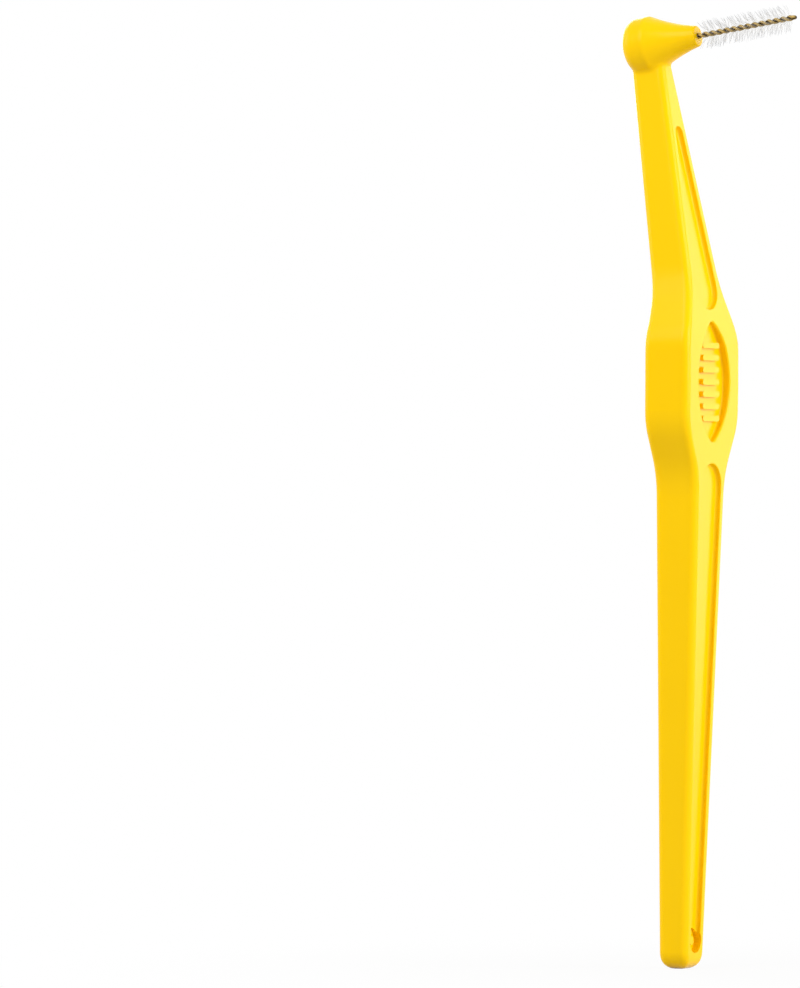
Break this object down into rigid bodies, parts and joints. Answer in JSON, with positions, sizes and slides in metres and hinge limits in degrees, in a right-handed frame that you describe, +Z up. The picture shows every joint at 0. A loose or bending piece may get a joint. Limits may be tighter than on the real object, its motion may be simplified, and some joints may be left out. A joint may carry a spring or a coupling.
{
  "type": "angled interdental brush",
  "caption": "Long-handled interdental brush: a moulded handle with finger grooves and a ribbed thumb recess carries a twisted-wire bristle brush on an angled head.",
  "frame": {"origin": "centre of the flat disc under the foot of the handle", "axes": "+Z up the handle from foot to head, +X the way the brush points and the thumb recess faces, Y across the grip"},
  "size_m": [0.0263, 0.0172, 0.1346],
  "materials": {
    "handle_plastic": "satin moulded, yellow",
    "coated_wire": "golden-brown coated steel, drawn",
    "nylon_filament": "translucent white nylon"
  },
  "bodies": {
    "handle": {"handle": "handle_plastic"},
    "brush": {"twisted_wire": "coated_wire", "bristle_tuft_01": "nylon_filament", "bristle_tuft_02": "nylon_filament", "bristle_tuft_03": "nylon_filament", "bristle_tuft_04": "nylon_filament", "bristle_tuft_05": "nylon_filament", "bristle_tuft_06": "nylon_filament", "bristle_tuft_07": "nylon_filament", "bristle_tuft_08": "nylon_filament", "bristle_tuft_09": "nylon_filament", "bristle_tuft_10": "nylon_filament", "bristle_tuft_11": "nylon_filament", "bristle_tuft_12": "nylon_filament", "bristle_tuft_13": "nylon_filament", "bristle_tuft_14": "nylon_filament", "bristle_tuft_15": "nylon_filament", "bristle_tuft_16": "nylon_filament", "bristle_tuft_17": "nylon_filament", "bristle_tuft_18": "nylon_filament", "bristle_tuft_19": "nylon_filament", "bristle_tuft_20": "nylon_filament", "bristle_tuft_21": "nylon_filament", "bristle_tuft_22": "nylon_filament", "bristle_tuft_23": "nylon_filament", "bristle_tuft_24": "nylon_filament", "bristle_tuft_25": "nylon_filament"}
  },
  "joints": [
    {"name": "brush_flex", "type": "hinge", "parent": "handle", "child": "brush", "pos_m": [0.00282, 0, 0.13044], "axis": [0, 1, 0], "range_deg": [-15, 15], "stiffness_Nm_per_rad": 0.03, "deforming": ["twisted_wire"]}
  ]
}
